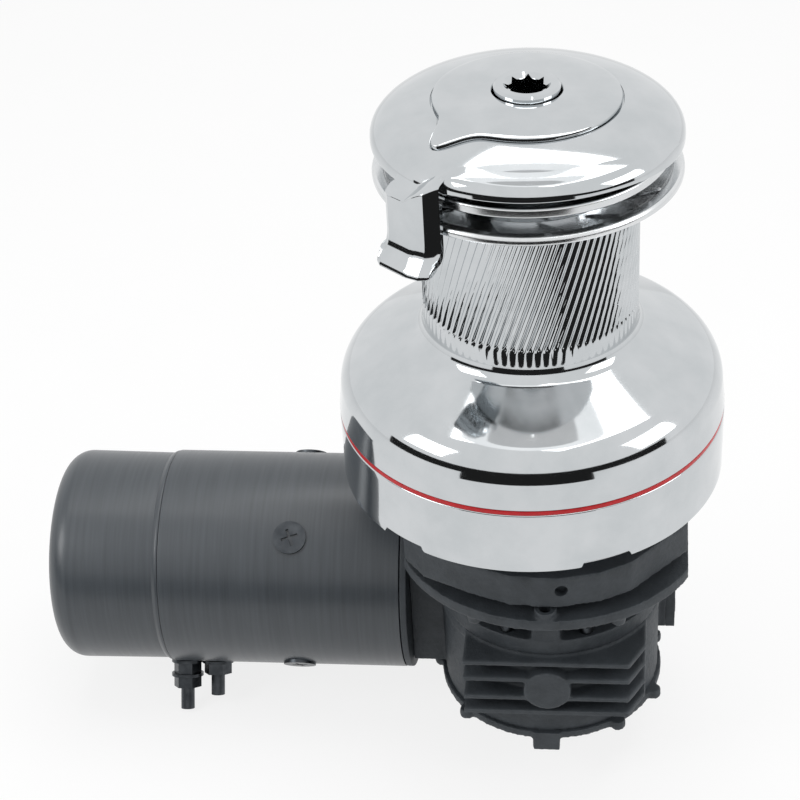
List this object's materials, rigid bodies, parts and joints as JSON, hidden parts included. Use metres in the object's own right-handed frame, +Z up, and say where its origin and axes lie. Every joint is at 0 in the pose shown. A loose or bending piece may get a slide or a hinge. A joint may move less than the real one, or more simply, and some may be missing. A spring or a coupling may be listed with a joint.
{
  "type": "electric self-tailing winch",
  "caption": "Deck winch with ribbed drum, self-tailing jaws and feeder arm, driven by a gear train, a worm gearbox and an electric motor hung below the deck.",
  "frame": {"origin": "centre of the deck mounting plane, on the winch axis", "axes": "+Z up along the winch axis, -X towards the motor's far end"},
  "size_m": [0.427, 0.23, 0.4614],
  "materials": {
    "polished_steel": "mirror polished",
    "red_trim": "gloss",
    "inner_alloy": "machined",
    "gearbox_paint": "matte cast",
    "motor_paint": "satin",
    "steel": "machined",
    "bronze": "machined",
    "copper": "turned",
    "seal_rubber": "matte",
    "carbon": "matte"
  },
  "bodies": {
    "base": {"base_skirt": "polished_steel", "bearing_spacer": "inner_alloy", "brushes": "carbon", "cap_screws": "steel", "centre_stem": "inner_alloy", "cover_screws": "steel", "deck_spacer": "inner_alloy", "drum_retainer": "inner_alloy", "drum_washer": "bronze", "gearbox_bolts": "steel", "gearbox_cover": "gearbox_paint", "gearbox_flange": "gearbox_paint", "gearbox_housing": "gearbox_paint", "housing_screws": "steel", "idler_pins": "steel", "lower_output_bearing": "steel", "lower_shaft_bush": "bronze", "motor_bearings": "steel", "motor_can": "motor_paint", "motor_end_cap": "motor_paint", "motor_flange": "motor_paint", "output_seal": "seal_rubber", "pole_screws": "steel", "pole_shoes": "steel", "red_stripe_ring": "red_trim", "stem_screws": "steel", "stripper_arm": "polished_steel", "terminal_nuts": "steel", "terminal_studs": "steel", "top_cover": "polished_steel", "upper_output_bearing": "steel", "upper_shaft_bush": "bronze", "winch_base": "inner_alloy", "worm_bearings": "steel", "worm_end_cap": "gearbox_paint"},
    "drum": {"drum": "polished_steel", "drum_ring_gear": "steel", "ring_gear_screws": "steel", "upper_crown": "polished_steel", "crown_screws": "steel", "crown_spring": "steel"},
    "lower_crown": {"lower_crown": "polished_steel"},
    "shaft": {"main_shaft": "polished_steel", "shaft_gear": "steel", "shaft_coupling": "steel", "output_shaft": "steel", "worm_wheel": "bronze"},
    "right_pawl": {"right_pawl": "steel"},
    "left_pawl": {"left_pawl": "steel"},
    "idler_front": {"idler_gear_front": "steel"},
    "idler_rear": {"idler_gear_rear": "steel"},
    "lower_rollers": {"lower_bearing_cage": "inner_alloy", "lower_bearing_rollers": "steel"},
    "upper_rollers": {"upper_bearing_cage": "inner_alloy", "upper_bearing_rollers": "steel"},
    "rotor": {"motor_shaft": "steel", "armature": "steel", "commutator": "copper", "motor_coupling": "steel", "worm": "steel"}
  },
  "joints": [
    {"name": "drum_spin", "type": "hinge", "parent": "base", "child": "drum", "pos_m": [0, 0, 0.1], "axis": [0, 0, 1], "continuous": true},
    {"name": "crown_slide", "type": "slide", "parent": "drum", "child": "lower_crown", "axis": [0, 0, 1], "range_m": [-0.0025, 0], "stiffness_N_per_m": 8000, "springref_m": 0.002, "deforming": ["crown_spring"]},
    {"name": "shaft_spin", "type": "hinge", "parent": "base", "child": "shaft", "pos_m": [0, 0, 0.1], "axis": [0, 0, 1], "continuous": true},
    {"name": "idler_front_spin", "type": "hinge", "parent": "base", "child": "idler_front", "pos_m": [0, -0.0525, 0.05], "axis": [0, 0, 1], "continuous": true},
    {"name": "idler_rear_spin", "type": "hinge", "parent": "base", "child": "idler_rear", "pos_m": [0, 0.0525, 0.05], "axis": [0, 0, 1], "continuous": true},
    {"name": "lower_rollers_spin", "type": "hinge", "parent": "base", "child": "lower_rollers", "pos_m": [0, 0, 0.08], "axis": [0, 0, 1], "continuous": true},
    {"name": "upper_rollers_spin", "type": "hinge", "parent": "base", "child": "upper_rollers", "pos_m": [0, 0, 0.17], "axis": [0, 0, 1], "continuous": true},
    {"name": "rotor_spin", "type": "hinge", "parent": "base", "child": "rotor", "pos_m": [0, 0.04, -0.12], "axis": [1, 0, 0], "continuous": true},
    {"name": "right_pawl_swing", "type": "hinge", "parent": "shaft", "child": "right_pawl", "pos_m": [0.011, 0, 0.051], "axis": [0, 0, 1], "range_deg": [0, 16], "stiffness_Nm_per_rad": 0.02, "springref_deg": -17.19},
    {"name": "left_pawl_swing", "type": "hinge", "parent": "shaft", "child": "left_pawl", "pos_m": [-0.011, 0, 0.051], "axis": [0, 0, 1], "range_deg": [0, 16], "stiffness_Nm_per_rad": 0.02, "springref_deg": -17.19}
  ],
  "couplings": [
    {"joint": "shaft_spin", "follows": "drum_spin", "ratio": -3.6667},
    {"joint": "idler_front_spin", "follows": "drum_spin", "ratio": 2.75},
    {"joint": "idler_rear_spin", "follows": "drum_spin", "ratio": 2.75},
    {"joint": "lower_rollers_spin", "follows": "drum_spin", "ratio": 0.56098},
    {"joint": "upper_rollers_spin", "follows": "drum_spin", "ratio": 0.56098},
    {"joint": "rotor_spin", "follows": "drum_spin", "ratio": -110}
  ]
}
